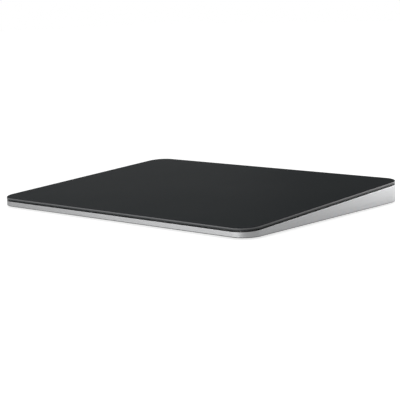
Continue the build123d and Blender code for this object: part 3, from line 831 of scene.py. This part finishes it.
class TRACKPAD_OT_housing(bpy.types.Operator):
    """Machined housing: a wedge-shaped tray with seats, and openings in its wall and floor"""

    bl_idname = "trackpad.housing"
    bl_label = "Housing"

    inner_round = 0.08 * MM
    seat_corner = 0.4 * MM
    beam_seat = (9 * MM, 9 * MM)
    beam_seat_round = 0.1 * MM
    bracket_seat = (36 * MM, 4 * MM)
    standoff_radius = 1.8 * MM
    window_reach = 0.2 * MM

    def execute(self, context):
        sizes = context.scene.trackpad_sizes
        shape = carried(rectangle(WIDTH, DEPTH, CORNER_RADIUS, 32), self.rows(sizes))
        body = piece("housing_shell", [shape], "housing_aluminium", "housing")
        combined(body, self.seats(), "UNION")
        combined(body, self.openings(sizes.opening_flare), "DIFFERENCE")
        even(body)
        return {"FINISHED"}

    def rows(self, sizes):
        """From the ceiling of the cover's recess, round the lip, up, over the rim and down."""
        base, rim, inner = sizes.base_round, sizes.rim_round, self.inner_round
        rim_height = MIDDLE_HEIGHT - RIM_DROP / cos(TILT)
        return profile(
            (COVER_LIP + SUPPORT, FLOOR_BOTTOM),
            (COVER_LIP, FLOOR_BOTTOM),
            arc(COVER_LIP - inner, FOOT_STAND + inner, inner, 180, 270, 3),
            arc(base, FOOT_STAND + base, base, -90, 0, 8),
            (0, FOOT_STAND + base + SUPPORT),
            (0, rim_height - rim - SUPPORT, 1),
            arc(rim, rim_height - rim, rim, 0, 90, 6, 1),
            (rim + SUPPORT, rim_height, 1),
            arc(WALL - inner, rim_height - inner, inner, 90, 180, 3, 1),
            (WALL, FLOOR_TOP),
            (WALL + SUPPORT, FLOOR_TOP),
        )

    def seats(self):
        """Seats of the beams and the haptic bracket at the tilt, and stand-offs of the boards."""
        root = (FLOOR_BOTTOM + FLOOR_TOP) / 2
        beam = self.beam_seat, BEAM_SEAT_DROP, self.beam_seat_round
        bracket = self.bracket_seat, BRACKET_SEAT_DROP, FINE_ROUND
        seats = [(place, *beam) for place in BEAM_BASES]
        seats += [((0, HAPTIC_Y + side * BRACKET_REACH), *bracket) for side in (-1, 1)]
        shapes = []
        for place, size, drop, edge in seats:
            around = rectangle(*size, self.seat_corner, 4, 2, place)
            bottom = -(MIDDLE_HEIGHT + place[1] * RISE - root)
            shapes.append(tilted(plate(around, bottom, -drop, HIDDEN_ROUND, edge)))
        for place in STANDOFFS:
            around = disc(self.standoff_radius, 40, place)
            shapes.append(plate(around, root, BOARD_BOTTOM, HIDDEN_ROUND, FINE_ROUND))
        return shapes

    def openings(self, flare):
        """Cutters for the socket, the switch and the window in the floor, flared at the wall."""
        start = -WALL - CUTTER_REACH
        rows = profile((0, start), arc(-flare, PROUD - flare, flare, 180, 90), (-flare, MM))
        socket = slot(SHELL[0] + 2 * OPENING_CLEARANCE, SHELL[1] + 2 * OPENING_CLEARANCE)
        quarter = np.array([(0, 1), (-1, 0)])
        points, directions = (part @ quarter for part in slot(*WINDOW))
        reach = self.window_reach
        through = profile((0, FLOOR_BOTTOM - reach), (0, FLOOR_TOP + reach))
        return [
            on_rear(carried(socket, rows)),
            on_rear(carried(slot(*SLOT), rows), SWITCH_X),
            carried((points + WINDOW_PLACE, directions), through),
        ]


class TRACKPAD_OT_underside(bpy.types.Operator):
    """Bottom cover with four shallow pockets, and a round rubber foot in each"""

    bl_idname = "trackpad.underside"
    bl_label = "Cover and feet"

    pocket_flare = 0.06 * MM

    def execute(self, context):
        sizes = context.scene.trackpad_sizes
        corner = CORNER_RADIUS - COVER_GAP
        around = rectangle(WIDTH - 2 * COVER_GAP, DEPTH - 2 * COVER_GAP, corner, 24)
        shape = plate(around, FOOT_STAND, COVER_TOP, sizes.cover_round, FINE_ROUND, 5)
        cover = piece("cover", [shape], "cover_plastic", "bottom_cover")
        pocket, flare = sizes.foot_radius + FOOT_CLEARANCE, self.pocket_flare
        mouth = profile(
            (-flare, FOOT_STAND - CUTTER_REACH),
            arc(-flare, FOOT_STAND + flare - PROUD, flare, 270, 180, 4),
            (0, FOOT_STAND + FOOT_SEAT),
        )
        pockets = [carried(disc(pocket, 72, place), mouth) for place in FOOT_PLACES]
        combined(cover, pockets, "DIFFERENCE")
        even(cover)
        for name, place in zip(CORNER_NAMES, FOOT_PLACES):
            around, top = disc(sizes.foot_radius, 72, place), FOOT_STAND + FOOT_SEAT
            shape = plate(around, 0, top, sizes.foot_round, FINE_ROUND, 6)
            piece(f"rubber_foot_{name}", [shape], "foot_rubber", f"foot_{name}")
        return {"FINISHED"}


class TRACKPAD_OT_socket(bpy.types.Operator):
    """Charging socket: drawn steel shell with a rolled mouth, and the tongue on its base block"""

    bl_idname = "trackpad.socket"
    bl_label = "Charging socket"

    block_round = 0.1 * MM
    tongue_corner = 0.2 * MM
    tongue_round = 0.18 * MM
    overlap = 0.1 * MM

    def execute(self, context):
        back = -SHELL_RECESS - SHELL_LENGTH
        inside = back + SHELL_WALL
        lip = SHELL_WALL / 2
        rows = profile(
            (SHELL_WALL + SUPPORT, back),
            arc(SHELL_WALL, inside, SHELL_WALL, -90, 0),
            arc(lip, -SHELL_RECESS - lip, lip, 0, 180, 8),
            (SHELL_WALL, inside),
            (SHELL_WALL + SUPPORT, inside),
        )
        shell = on_rear(carried(slot(*SHELL), rows))
        piece("socket_shell", [shell], "socket_steel", "usb_c_shell")
        root = -SHELL_RECESS - TONGUE_RECESS - TONGUE_LENGTH
        block = slot(SHELL[0] - 2 * SHELL_WALL, SHELL[1] - 2 * SHELL_WALL)
        tongue = rectangle(*TONGUE, self.tongue_corner, 6, 4)
        start, tip = root - self.overlap, root + TONGUE_LENGTH
        shapes = [
            on_rear(plate(block, inside, root, HIDDEN_ROUND, self.block_round)),
            on_rear(plate(tongue, start, tip, HIDDEN_ROUND, self.tongue_round)),
        ]
        piece("socket_tongue", shapes, "socket_plastic", "usb_c_tongue")
        return {"FINISHED"}


class TRACKPAD_OT_switch(bpy.types.Operator):
    """Power switch: knob with three grip grooves, its shutter and stem, and the marker beside it"""

    bl_idname = "trackpad.switch"
    bl_label = "Power switch"

    face_round = 0.2 * MM
    groove = (0.3 * MM, 1.2 * MM)
    groove_end = 0.149 * MM
    groove_depth = 0.15 * MM
    groove_pitch = 0.9 * MM
    groove_round = 0.1 * MM
    groove_flare = 0.05 * MM
    shutter_corner = 0.5 * MM
    stem = (1.2 * MM, 0.8 * MM)
    stem_length = 1.8 * MM
    overlap = 0.1 * MM
    marker_length = 2.3 * MM
    marker_height = 0.15 * MM
    corner = 0.1 * MM

    def execute(self, context):
        front, overlap, corner = -SHUTTER_DEPTH, self.overlap, self.corner
        rounds = HIDDEN_ROUND, self.face_round
        shape = plate(slot(*KNOB, 20, 8), front - overlap, -KNOB_RECESS, *rounds, 6)
        knob = self.part("knob", shape, "knob_plastic", "power_switch_knob")
        combined(knob, self.grooves(), "DIFFERENCE")
        back = front - SHUTTER_THICKNESS
        around = rectangle(*SHUTTER, self.shutter_corner, 8, 4)
        shutter = plate(around, back, front, FINE_ROUND, FINE_ROUND, 3, THIN_SUPPORT)
        around = rectangle(*self.stem, corner, 4, 2)
        stem = plate(around, back - self.stem_length, back + overlap, corner, HIDDEN_ROUND)
        combined(knob, [on_rear(shape, KNOB_X) for shape in (shutter, stem)], "UNION")
        even(knob)
        middle = (KNOB[0] + self.marker_length) / 2
        around = rectangle(self.marker_length, KNOB[1], corner, 4, 2, (middle, 0))
        top = front + self.marker_height
        shape = plate(around, front, top, LAYER_ROUND, FINE_ROUND, 3, THIN_SUPPORT)
        self.part("marker", shape, "marker_green", "switch_on_marker")
        return {"FINISHED"}

    def part(self, name, shape, finish, replaced):
        """A piece that slides in the slot of the rear wall."""
        return piece(name, [on_rear(shape, KNOB_X)], finish, replaced, "power_switch")

    def grooves(self):
        """Cutters with a rounded bottom and a flared mouth, side by side."""
        face, flare, bottom = -KNOB_RECESS, self.groove_flare, self.groove_round
        low = face - self.groove_depth
        rows = profile(
            (bottom, low),
            arc(bottom, low + bottom, bottom, -90, 0, 4),
            arc(-flare, face + PROUD - flare, flare, 180, 90, 4),
            (-flare, face + MM),
        )
        points, directions = rectangle(*self.groove, self.groove_end, 8, 4)
        shifts = [(step * self.groove_pitch, 0) for step in (-1, 0, 1)]
        paths = [(points + shift, directions) for shift in shifts]
        return [on_rear(carried(path, rows), KNOB_X) for path in paths]


class TRACKPAD_OT_beams(bpy.types.Operator):
    """Load beams of spring steel between base and pads, each with its strain gauge"""

    bl_idname = "trackpad.beams"
    bl_label = "Load beams"

    base_length = 9.0 * MM
    start = BEAM_BASE_X - base_length / 2
    base_half = 4.5 * MM
    neck_half = 3.0 * MM
    end_radius = 3.5 * MM
    notch_radius = 0.9 * MM
    corner = 0.6 * MM
    edge_round = 0.06 * MM
    # Between the last row of the base and the first of the narrower neck
    step = 0.002 * MM
    # The rows of the round end lie between these shares of a half turn
    tip_turn = (0.03, 0.496)
    gauge = (4 * MM, 3 * MM)
    gauge_thickness = 0.08 * MM
    gauge_corner = 0.3 * MM

    def execute(self, context):
        for name, (side, lane) in zip(CORNER_NAMES, CORNERS):
            start = (side * (self.start + self.base_length), lane * BEAM_Y, 0)
            end = (side * PAD_X, lane * BEAM_Y, 0)
            follows = ("base", "pads", start, end)
            beam = tilted(skin(self.beam(side, lane)))
            piece(f"beam_{name}", [beam], "beam_steel", f"load_beam_{name}", follows)
            place = (side * GAUGE_X, lane * BEAM_Y)
            around = rectangle(*self.gauge, self.gauge_corner, 5, 3, place)
            low, rounds = -BEAM_DROP, (LAYER_ROUND, HIDDEN_ROUND)
            gauge = plate(around, low, low + self.gauge_thickness, *rounds, 3, LAYER_ROUND)
            piece(f"gauge_{name}", [tilted(gauge)], "gauge_foil", "strain_gauges", follows)
        return {"FINISHED"}

    def half_width(self, along):
        """Half of the beam's width: the base, then the wider of the neck and the round end.

        A circle of radius r about c is the root of r^2 - (x - c)^2. It gives the round corners of
        the base and the round end, and the notch takes such a bite off the neck.
        """

        def bow(distance, radius):
            return np.sqrt(np.maximum(radius**2 - distance**2, 0))

        notch, end, corner = GAUGE_X - self.start, PAD_X - self.start, self.corner
        inside = np.minimum(along, self.base_length - along)
        base = self.base_half - corner + bow(corner - np.minimum(inside, corner), corner)
        base = np.where(inside < 0, 0, base)
        neck = np.where(along < end, self.neck_half - bow(along - notch, self.notch_radius), 0)
        return np.maximum(np.maximum(base, neck), bow(along - end, self.end_radius))

    def beam(self, side, lane):
        """Grid of the beam: a thin rounded section carried along it, as wide as the beam there."""
        base_end, end = self.base_length, PAD_X - self.start
        corner = self.corner * (1 - np.cos(np.linspace(0, pi / 2, 7)))
        base = np.linspace(self.corner, base_end - self.corner, 10)[1:-1]
        neck = np.linspace(base_end + self.step, end, 70)
        tip = end + self.end_radius * np.sin(np.linspace(*self.tip_turn, 22)[1:] * pi)
        along = np.concatenate([corner, base, base_end - corner[::-1], neck, tip])
        around = rectangle(2.0, BEAM_THICKNESS, self.edge_round, 3, 6)[0]
        across = np.clip(around[:, 0], -1, 1)
        height = around[:, 1] - BEAM_DROP - BEAM_THICKNESS / 2
        x = side * (along + self.start)
        y = lane * BEAM_Y + self.half_width(along)[:, None] * across
        x, height = np.broadcast_to(x[:, None], y.shape), np.broadcast_to(height, y.shape)
        grid = np.stack([x, y, height], -1)
        return grid if side > 0 else grid[::-1]


class TRACKPAD_OT_haptics(bpy.types.Operator):
    """Haptic engine: three coils of round wire on the legs of the core"""

    bl_idname = "trackpad.haptics"
    bl_label = "Haptic coils"

    coil_start = -5.675 * MM
    coil_length = 11.0 * MM
    section, section_corner = (6.3 * MM, 1.859 * MM), 0.3 * MM
    opening, opening_corner = (3.1 * MM, 1.159 * MM), 0.1 * MM
    pitch = 7.85 * MM
    drop = BRACKET_TOP_DROP - section[1] / 2
    turn_points = 4

    def execute(self, context):
        wire = context.scene.trackpad_sizes.wire_pitch
        coils = [self.coil(HAPTIC_Y + step * self.pitch, wire) for step in (-1, 0, 1)]
        piece("coils", coils, "coil_copper", "haptic_coils")
        return {"FINISHED"}

    def coil(self, y, wire):
        """A closed sleeve: its outside is scalloped by the turns, and its inside is plain.

        At x the outside sinks by r - root(r^2 - (x - c)^2), with r half the pitch and c the
        middle of the turn.
        """
        turns = round(self.coil_length / wire)
        radius = self.coil_length / turns / 2
        share = (np.arange(self.turn_points) + 0.5) / self.turn_points
        across = np.cos(pi * (1 - share))
        x = (np.arange(turns)[:, None] * 2 + 1 + across).ravel() * radius
        sink = np.tile(radius * (1 - np.sqrt(1 - across**2)), turns)
        outer, directions = rectangle(*self.section, self.section_corner, 5, 6)
        inner = rectangle(*self.opening, self.opening_corner, 5, 6)[0]
        outside = outer - sink[:, None, None] * directions
        inside = np.broadcast_to(inner, (2, *inner.shape))
        section = np.concatenate([outside, inside])
        x = np.broadcast_to(np.concatenate([x, x[[-1, 0]]])[:, None], section.shape[:2])
        grid = np.concatenate([x[..., None], section], -1)
        return tilted(skin(grid + (self.coil_start, y, -self.drop), looped=True))


class TRACKPAD_OT_battery(bpy.types.Operator):
    """Battery: a soft-edged pouch with folded side seams and a low terrace in front"""

    bl_idname = "trackpad.battery"
    bl_label = "Battery"

    low, high = 2.05 * MM, 6.02 * MM
    half_width = 45.5 * MM
    front, rear = 12.0 * MM, 44.85 * MM
    corner = 1.2 * MM
    rounds = (0.5 * MM, 0.8 * MM)
    fold_rounds = (0.1 * MM, 0.15 * MM)
    seam, seam_corner, seam_short = 0.5 * MM, 0.2 * MM, 3.0 * MM
    seam_low, seam_high = 2.15 * MM, 4.92 * MM
    terrace, terrace_corner, terrace_short = 8.0 * MM, 0.3 * MM, 1.2 * MM
    overlap = 1.0 * MM

    def execute(self, context):
        width, depth = 2 * self.half_width, self.rear - self.front
        middle = (self.front + self.rear) / 2
        around = rectangle(width - self.seam, depth, self.corner, 8, 10, (0, middle))
        skins = [plate(around, self.low, self.high, *self.rounds, 6)]
        for side in (-1, 1):
            place = (side * (self.half_width - self.seam / 2), middle)
            size = self.seam, depth - self.seam_short
            around = rectangle(*size, self.seam_corner, 4, 6, place)
            skins.append(plate(around, self.seam_low, self.seam_high, *self.fold_rounds))
        rear = self.front + self.overlap
        size, place = (width - self.terrace_short, rear - self.terrace), (rear + self.terrace) / 2
        around = rectangle(*size, self.terrace_corner, 4, 8, (0, place))
        skins.append(plate(around, self.low, BOARD_TOP, *self.fold_rounds))
        piece("pouch_cell", skins, "battery_pouch", "battery_cell")
        return {"FINISHED"}


class TRACKPAD_OT_leads(bpy.types.Operator):
    """Touch flex: a thin ribbon that comes down through the stiffener in a soft S to the board"""

    bl_idname = "trackpad.leads"
    bl_label = "Touch flex"

    place = (30.0 * MM, -6.0 * MM)
    run = 5.0 * MM
    handle = 2.2 * MM
    gap = 0.02 * MM
    section, edge_round = (6.0 * MM, 0.1 * MM), 0.03 * MM

    def execute(self, context):
        x, y = self.place
        top = MIDDLE_HEIGHT + RISE * y - STIFFENER_DROP / cos(TILT) - self.gap
        start, end = (x, top), (x + self.run, CONNECTOR_TOP)
        handles = (x, top - self.handle), (x + self.run, CONNECTOR_TOP + self.handle)
        t = np.linspace(0, 1, 40)[:, None]
        weights = [(1 - t) ** 3, 3 * t * (1 - t) ** 2, 3 * t**2 * (1 - t), t**3]
        path = np.concatenate(weights, 1) @ np.array([start, *handles, end])
        follows = ("base", "pads", (x + self.run, y, CONNECTOR_TOP), (x + self.run, y, top))
        piece("flex_ribbon", [skin(self.ribbon(path, y))], "flex_film", "touch_flex", follows)
        return {"FINISHED"}

    def ribbon(self, path, y):
        """Grid of the ribbon: a flat section carried along a cubic path, square to it.

        The path's four corners are weighed by (1-t)^3, 3t(1-t)^2, 3t^2(1-t) and t^3.
        """
        way = np.gradient(path, axis=0)
        way /= np.linalg.norm(way, axis=1)[:, None]
        square = np.stack([-way[:, 1], way[:, 0]], -1)
        around = rectangle(*self.section, self.edge_round, 3, 6)[0]
        plan = path[:, None] + around[None, :, 1, None] * square[:, None]
        along = np.broadcast_to(y - around[:, 0], plan.shape[:2])
        return np.stack([plan[..., 0], along, plan[..., 1]], -1)


class TRACKPAD_OT_screws(bpy.types.Operator):
    """Small screws with a lobed drive, on the load beams, the haptic bracket and the boards"""

    bl_idname = "trackpad.screws"
    bl_label = "Screws"

    beam_reach = 2.8 * MM
    bracket_half = 17.5 * MM
    shoulder = 0.16 * MM
    face = 0.72
    drive = 0.6 * MM
    lobe = 0.14
    # share of the drive's radius, depth
    drive_rows = ((1.12, 0), (1.0, 0.05 * MM), (0.98, 0.3 * MM), (0.6, 0.32 * MM))

    def execute(self, context):
        sizes = context.scene.trackpad_sizes
        pairs = np.array([(0, -self.beam_reach), (0, self.beam_reach)])
        beams = (BEAM_BASES[:, None] + pairs).reshape(-1, 2)
        bracket = CORNERS * (self.bracket_half, BRACKET_REACH) + (0, HAPTIC_Y)
        groups = (
            ("beam_fixings", beams, -BEAM_DROP, True),
            ("bracket_fixings", bracket, -BRACKET_TOP_DROP, True),
            ("board_fixings", STANDOFFS, BOARD_TOP, False),
        )
        for name, places, seat, at_tilt in groups:
            heads = [skin(self.head(sizes, place, seat)) for place in places]
            if at_tilt:
                heads = [tilted(head) for head in heads]
            piece(name, heads, "beam_steel")
        return {"FINISHED"}

    def head(self, sizes, place, seat):
        """Grid of a screw head about its axis: the radius is a function of the row and the angle.

        Outside it is round, with a rounded shoulder. The drive swings about its radius as a
        cosine of six lobes.
        """
        radius, height, shoulder = sizes.screw_radius, sizes.screw_height, self.shoulder
        angles = np.linspace(0, 2 * pi, 48, endpoint=False)
        corner = arc(shoulder, height - shoulder, shoulder, 0, 90, 4)
        face = (radius * (1 - self.face), height)
        inset, lift, _ = profile((SUPPORT, 0), (0, 0), corner, face).T
        share, depth = np.array(self.drive_rows).T
        head = (radius - inset)[:, None] * np.ones_like(angles)
        drive = self.drive * share[:, None] * (1 + self.lobe * np.cos(6 * angles))
        reach = np.concatenate([head, drive])
        level = np.concatenate([lift, height - depth])[:, None] + np.full_like(angles, seat)
        x, y = place[0] + reach * np.cos(angles), place[1] + reach * np.sin(angles)
        return np.stack([x, y, level], -1)


class TRACKPAD_OT_chips(bpy.types.Operator):
    """Chips with a soft moulded edge, and rows of small parts with tinned ends round them"""

    bl_idname = "trackpad.chips"
    bl_label = "Chips"

    chip_corner, chip_round = 0.12 * MM, 0.08 * MM
    bevel, corner = 0.05 * MM, 0.04 * MM
    # What follows is in millimetres
    chip_height = 0.7
    part, part_height = (0.5, 0.42), 0.36
    end, end_height, end_reach = (0.52, 0.24), 0.38, 0.36
    chips = (
        # place, side
        ((48.5, -13.55), 7.0),
        ((37.475, -16.15), 6.0),
        ((44.825, -5.75), 4.0),
        ((55.85, -3.15), 3.6),
    )
    small_parts = (
        # first place, step, count
        ((43.6, -18.6), (1.5, 0), 7),
        ((54.2, -15.6), (0, 1.5), 6),
        ((33.4, -20.4), (1.5, 0), 6),
        ((47.8, -1.0), (1.5, 0), 4),
        ((47.8, -7.4), (0, 1.5), 3),
        ((59.0, -2.6), (1.5, 0), 5),
        ((59.0, -0.6), (1.5, 0), 5),
    )

    def execute(self, context):
        skins = []
        top = BOARD_TOP + self.chip_height * MM
        for (x, y), side in self.chips:
            around = rectangle(side * MM, side * MM, self.chip_corner, 4, 4, (x * MM, y * MM))
            skins.append(plate(around, BOARD_TOP, top, HIDDEN_ROUND, self.chip_round))
        piece("chips", skins, "chip_plastic", "logic_chips")
        bodies, ends = [], []
        for start, step, count in self.small_parts:
            for index in range(count):
                place = (np.array(start) + index * np.array(step)) * MM
                bodies.append(self.block(place, self.part, self.part_height))
                for side in (-1, 1):
                    at = place + (0, side * self.end_reach * MM)
                    ends.append(self.block(at, self.end, self.end_height))
        piece("small_parts", bodies, "connector_plastic")
        piece("small_part_ends", ends, "shield_steel")
        return {"FINISHED"}

    def block(self, place, size, height):
        """A small block with bevelled upper edges on the board."""
        around = rectangle(size[0] * MM, size[1] * MM, self.corner, 1, 1, place)
        top = BOARD_TOP + height * MM
        return carried(around, profile((0, BOARD_TOP), (0, top - self.bevel), (self.bevel, top)))


class TRACKPAD_OT_finishes(bpy.types.Operator):
    """Finishes of the parts that keep their own shape"""

    bl_idname = "trackpad.finishes"
    bl_label = "Inner finishes"

    kept = {
        "clear_film": ("glass_adhesive", "cover_adhesive", "battery_adhesive"),
        "sensor_laminate": ("touch_sensor_board",),
        "stiffener_steel": ("stiffener_plate", "haptic_bracket"),
        "pad_rubber": ("sensor_pads",),
        "core_iron": ("haptic_core", "haptic_armature"),
        "flex_film": ("battery_lead", "port_lead", "gauge_leads"),
        "board_laminate": ("logic_board", "port_board", "battery_protection_board"),
        "shield_steel": ("radio_shield_can",),
        "connector_plastic": ("board_connectors",),
        "antenna_plastic": ("antenna",),
        "contact_brass": ("usb_c_contacts",),
        "socket_plastic": ("power_switch_body",),
    }

    def execute(self, context):
        for finish_name, nodes in self.kept.items():
            for node in nodes:
                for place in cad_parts[node].material_slots:
                    place.material = finish_of(finish_name)
        return {"FINISHED"}


STEPS = (
    TRACKPAD_OT_stage,
    TRACKPAD_OT_glass,
    TRACKPAD_OT_housing,
    TRACKPAD_OT_underside,
    TRACKPAD_OT_socket,
    TRACKPAD_OT_switch,
    TRACKPAD_OT_beams,
    TRACKPAD_OT_haptics,
    TRACKPAD_OT_battery,
    TRACKPAD_OT_leads,
    TRACKPAD_OT_screws,
    TRACKPAD_OT_chips,
    TRACKPAD_OT_finishes,
)


class TRACKPAD_PT_panel(bpy.types.Panel):
    """Every step of the trackpad, with its sizes and colours"""

    bl_idname = "TRACKPAD_PT_panel"
    bl_label = "Trackpad"
    bl_space_type = "VIEW_3D"
    bl_region_type = "UI"
    bl_category = "Trackpad"

    def draw(self, context):
        for step in STEPS:
            self.layout.operator(step.bl_idname)
        for group in (context.scene.trackpad_sizes, context.scene.trackpad_colours):
            box = self.layout.box()
            for name in group.bl_rna.properties.keys():
                if name not in ("rna_type", "name"):
                    box.prop(group, name)


CLASSES = (TrackpadSizes, TrackpadColours, *STEPS, TRACKPAD_PT_panel)


def register():
    for made in CLASSES:
        bpy.utils.register_class(made)
    bpy.types.Scene.trackpad_sizes = bpy.props.PointerProperty(type=TrackpadSizes)
    bpy.types.Scene.trackpad_colours = bpy.props.PointerProperty(type=TrackpadColours)


def unregister():
    del bpy.types.Scene.trackpad_sizes
    del bpy.types.Scene.trackpad_colours
    for made in reversed(CLASSES):
        bpy.utils.unregister_class(made)


def main():
    """Makes the stage and every piece."""
    register()
    for step in STEPS:
        getattr(bpy.ops.trackpad, step.bl_idname.removeprefix("trackpad."))()


if __name__ == "__main__":
    main()
